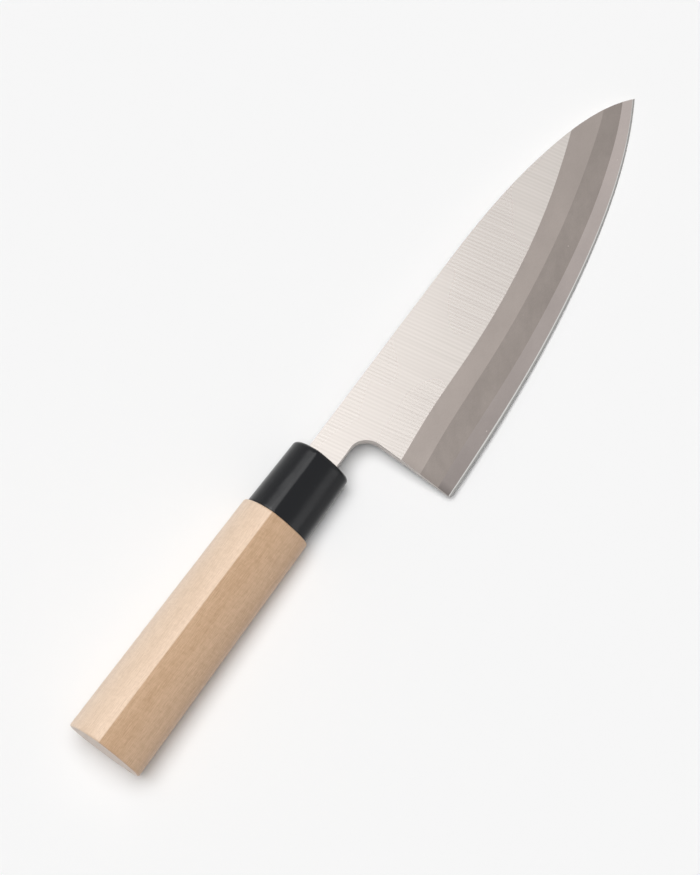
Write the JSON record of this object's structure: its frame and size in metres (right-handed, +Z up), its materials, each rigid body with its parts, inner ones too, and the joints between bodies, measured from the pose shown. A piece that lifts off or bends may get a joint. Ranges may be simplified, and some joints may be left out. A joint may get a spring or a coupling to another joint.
{
  "type": "deba knife",
  "caption": "Right-handed single-bevel kitchen knife with a thick blade, a black moulded collar and an oval wooden handle with one ridge.",
  "frame": {"origin": "middle of the footprint on the table, as the knife lies at rest with the bevelled face up", "axes": "+X from the butt towards the point, +Y from the cutting edge towards the back of the blade, +Z up out of the bevelled face"},
  "size_m": [0.2834, 0.0548, 0.0256],
  "materials": {
    "soft_iron": "ground across the blade, satin on the bevel",
    "hard_steel": "satin, finer than the iron",
    "black_plastic": "glossy, lightly moulded",
    "pale_wood": "bare, fine straight grain along the handle",
    "resin": "cured, hidden"
  },
  "bodies": {
    "root": {"blade_cladding": "soft_iron", "core_steel": "hard_steel", "ferrule": "black_plastic", "handle_grip": "pale_wood", "tang_bedding": "resin"}
  },
  "joints": []
}
